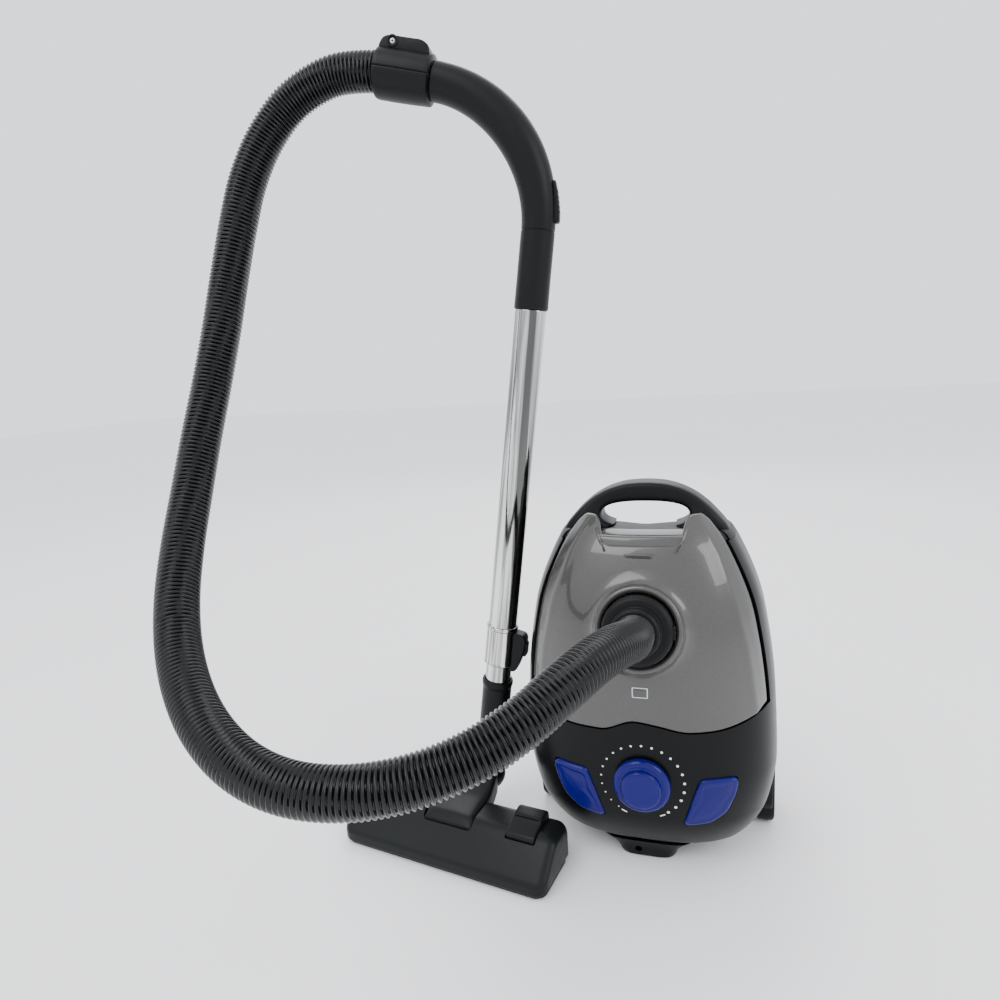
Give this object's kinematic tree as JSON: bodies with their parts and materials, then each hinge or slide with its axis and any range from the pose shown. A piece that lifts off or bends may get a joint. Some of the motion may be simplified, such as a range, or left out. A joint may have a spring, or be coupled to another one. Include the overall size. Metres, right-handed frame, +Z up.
{
  "type": "canister vacuum cleaner",
  "caption": "canister vacuum cleaner standing on its tail, with hinged lid, blue knob and pedals, ribbed hose, bent handle, chrome telescopic wand and floor head",
  "frame": {"origin": "middle of the canister's width, on the flat underside of its standing foot, at floor height", "axes": "+Z up, the lid and the control panel face -Y, the two rear wheels lie along X"},
  "size_m": [0.6108, 0.554, 0.9265],
  "materials": {
    "black_gloss": "glossy moulded plastic",
    "black_matte": "fine satin texture",
    "head_plastic": "satin dark green-grey plastic",
    "lid_grey": "glossy metallic grey plastic",
    "blue_gloss": "glossy blue plastic",
    "chrome_tube": "polished chrome",
    "steel": "plain steel",
    "alu": "cast aluminium",
    "armature_copper": "wound copper",
    "tyre_rubber": "soft tread",
    "seal_rubber": "moulded rubber",
    "hose_plastic": "glossy ribbed flexible plastic",
    "bag_paper": "creased filter paper",
    "filter_wool": "filter fleece",
    "bristle": "dense black bristle",
    "window": "tinted clear plastic",
    "white_print": "printed dots",
    "board": "circuit board"
  },
  "bodies": {
    "canister": {"base_shell": "black_matte", "top_cover": "black_gloss", "carry_handle": "black_matte", "standing_foot": "black_matte", "wheel_axles": "steel", "dial_marks": "white_print", "speed_control": "black_matte", "pedal_springs": "steel", "power_switch": "black_matte", "dust_chamber": "black_matte", "dust_bag": "bag_paper", "bag_plate": "bag_paper", "bag_holder": "black_matte", "motor_filter": "filter_wool", "filter_frame": "black_matte", "motor_can": "steel", "motor_mounts": "seal_rubber", "exhaust_filter": "filter_wool", "exhaust_grille": "black_matte", "reel_axle": "steel", "cord_outlet": "black_matte", "circuit_board": "board", "body_screws": "steel", "hose": "hose_plastic"},
    "left_wheel": {"wheel_left": "black_matte", "tyre_left": "tyre_rubber"},
    "right_wheel": {"wheel_right": "black_matte", "tyre_right": "tyre_rubber"},
    "caster": {"caster_fork": "black_matte"},
    "caster_roller": {"caster_wheel": "tyre_rubber"},
    "lid": {"dust_lid": "lid_grey", "lid_seal": "seal_rubber", "inlet_ring": "black_matte", "indicator_window": "window"},
    "latch": {"lid_latch": "black_matte"},
    "connector": {"hose_connector": "black_matte", "hose_end_cuff": "black_matte"},
    "tab": {"connector_tab": "black_matte"},
    "knob": {"speed_knob": "blue_gloss"},
    "right_pedal": {"power_pedal": "blue_gloss"},
    "left_pedal": {"rewind_pedal": "blue_gloss"},
    "armature": {"motor_shaft": "armature_copper", "fan_wheel": "alu"},
    "reel": {"reel_drum": "black_matte"},
    "wand_upper": {"outer_tube": "chrome_tube", "lock_sleeve": "chrome_tube", "handle_tube": "black_matte", "clamp_upper": "black_matte", "clamp_lower": "black_matte", "clamp_screw": "steel"},
    "air_slider": {"suction_slider": "black_matte"},
    "lock": {"lock_button": "black_matte"},
    "wand_lower": {"inner_tube": "chrome_tube"},
    "neck": {"neck_elbow": "black_matte", "neck_yoke": "black_matte"},
    "head": {"head_shell": "head_plastic", "sole_plate": "head_plastic"},
    "rocker": {"rocker_pedal": "head_plastic"},
    "brushes": {"brush_strips": "bristle"},
    "rollers": {"head_wheels": "tyre_rubber"}
  },
  "joints": [
    {"name": "lid_open", "type": "hinge", "parent": "canister", "child": "lid", "pos_m": [0, -0.10953, 0.17786], "axis": [1, 0, 0], "range_deg": [0, 70], "deforming": ["hose"]},
    {"name": "latch_press", "type": "slide", "parent": "lid", "child": "latch", "axis": [0, 0, -1], "range_m": [0, 0.003], "stiffness_N_per_m": 400},
    {"name": "connector_turn", "type": "hinge", "parent": "lid", "child": "connector", "pos_m": [0, -0.10004, 0.29793], "axis": [0, -0.9703, 0.2419], "continuous": true},
    {"name": "tab_press", "type": "slide", "parent": "connector", "child": "tab", "axis": [-1, 0, 0], "range_m": [0, 0.002], "stiffness_N_per_m": 400},
    {"name": "knob_turn", "type": "hinge", "parent": "canister", "child": "knob", "pos_m": [0, -0.10713, 0.1222], "axis": [0, -1, 0], "range_deg": [0, 270]},
    {"name": "power_press", "type": "slide", "parent": "canister", "child": "right_pedal", "axis": [0, 1, 0], "range_m": [0, 0.004], "stiffness_N_per_m": 800, "deforming": ["pedal_springs"]},
    {"name": "rewind_press", "type": "slide", "parent": "canister", "child": "left_pedal", "axis": [0, 1, 0], "range_m": [0, 0.004], "stiffness_N_per_m": 800},
    {"name": "left_wheel_spin", "type": "hinge", "parent": "canister", "child": "left_wheel", "pos_m": [-0.1131, 0.08281, 0.076], "axis": [1, 0, 0], "continuous": true},
    {"name": "right_wheel_spin", "type": "hinge", "parent": "canister", "child": "right_wheel", "pos_m": [0.1131, 0.08281, 0.076], "axis": [1, 0, 0], "continuous": true},
    {"name": "caster_swivel", "type": "hinge", "parent": "canister", "child": "caster", "pos_m": [0, 0.0952, 0.34342], "axis": [0, 1, 0], "continuous": true},
    {"name": "caster_roll", "type": "hinge", "parent": "caster", "child": "caster_roller", "pos_m": [0, 0.1172, 0.32742], "axis": [1, 0, 0], "continuous": true},
    {"name": "fan_spin", "type": "hinge", "parent": "canister", "child": "armature", "pos_m": [0.04785, -0.008, 0.1], "axis": [0, 0, 1], "continuous": true},
    {"name": "reel_spin", "type": "hinge", "parent": "canister", "child": "reel", "pos_m": [-0.0696, -0.03, 0.10704], "axis": [0, 1, 0], "continuous": true},
    {"name": "telescope", "type": "slide", "parent": "canister", "child": "wand_upper", "axis": [0.1478, 0, 0.989], "range_m": [0, 0.3], "deforming": ["hose"]},
    {"name": "inner_tube_stays", "type": "slide", "parent": "wand_upper", "child": "wand_lower", "axis": [0.1478, 0, 0.989], "range_m": [-0.301, 0]},
    {"name": "air_slide", "type": "hinge", "parent": "wand_upper", "child": "air_slider", "pos_m": [-0.24664, -0.03646, 0.74238], "axis": [0.1376, -0.9903, -0.0206], "range_deg": [0, 6]},
    {"name": "lock_press", "type": "slide", "parent": "wand_upper", "child": "lock", "axis": [-0.1478, 0, -0.989], "range_m": [0, 0.008], "stiffness_N_per_m": 400},
    {"name": "neck_swivel", "type": "hinge", "parent": "wand_lower", "child": "neck", "pos_m": [-0.20719, -0.0167, 0.055], "axis": [0.1478, 0, 0.989], "range_deg": [-60, 0]},
    {"name": "head_tilt", "type": "hinge", "parent": "neck", "child": "head", "pos_m": [-0.23, -0.1, 0.028], "axis": [0.9848, -0.1736, 0], "range_deg": [-12, 12]},
    {"name": "rocker_press", "type": "hinge", "parent": "head", "child": "rocker", "pos_m": [-0.13199, -0.09697, 0.044], "axis": [0.9848, -0.1736, 0], "range_deg": [-14, 0]},
    {"name": "brush_lower", "type": "slide", "parent": "head", "child": "brushes", "axis": [0, 0, -1], "range_m": [0, 0.0041]},
    {"name": "roller_spin", "type": "hinge", "parent": "head", "child": "rollers", "pos_m": [-0.22496, -0.07144, 0.0075], "axis": [0.9848, -0.1736, 0], "continuous": true}
  ],
  "couplings": [
    {"joint": "inner_tube_stays", "follows": "telescope", "ratio": -1},
    {"joint": "brush_lower", "follows": "rocker_press", "m_per_rad": -0.0163}
  ]
}
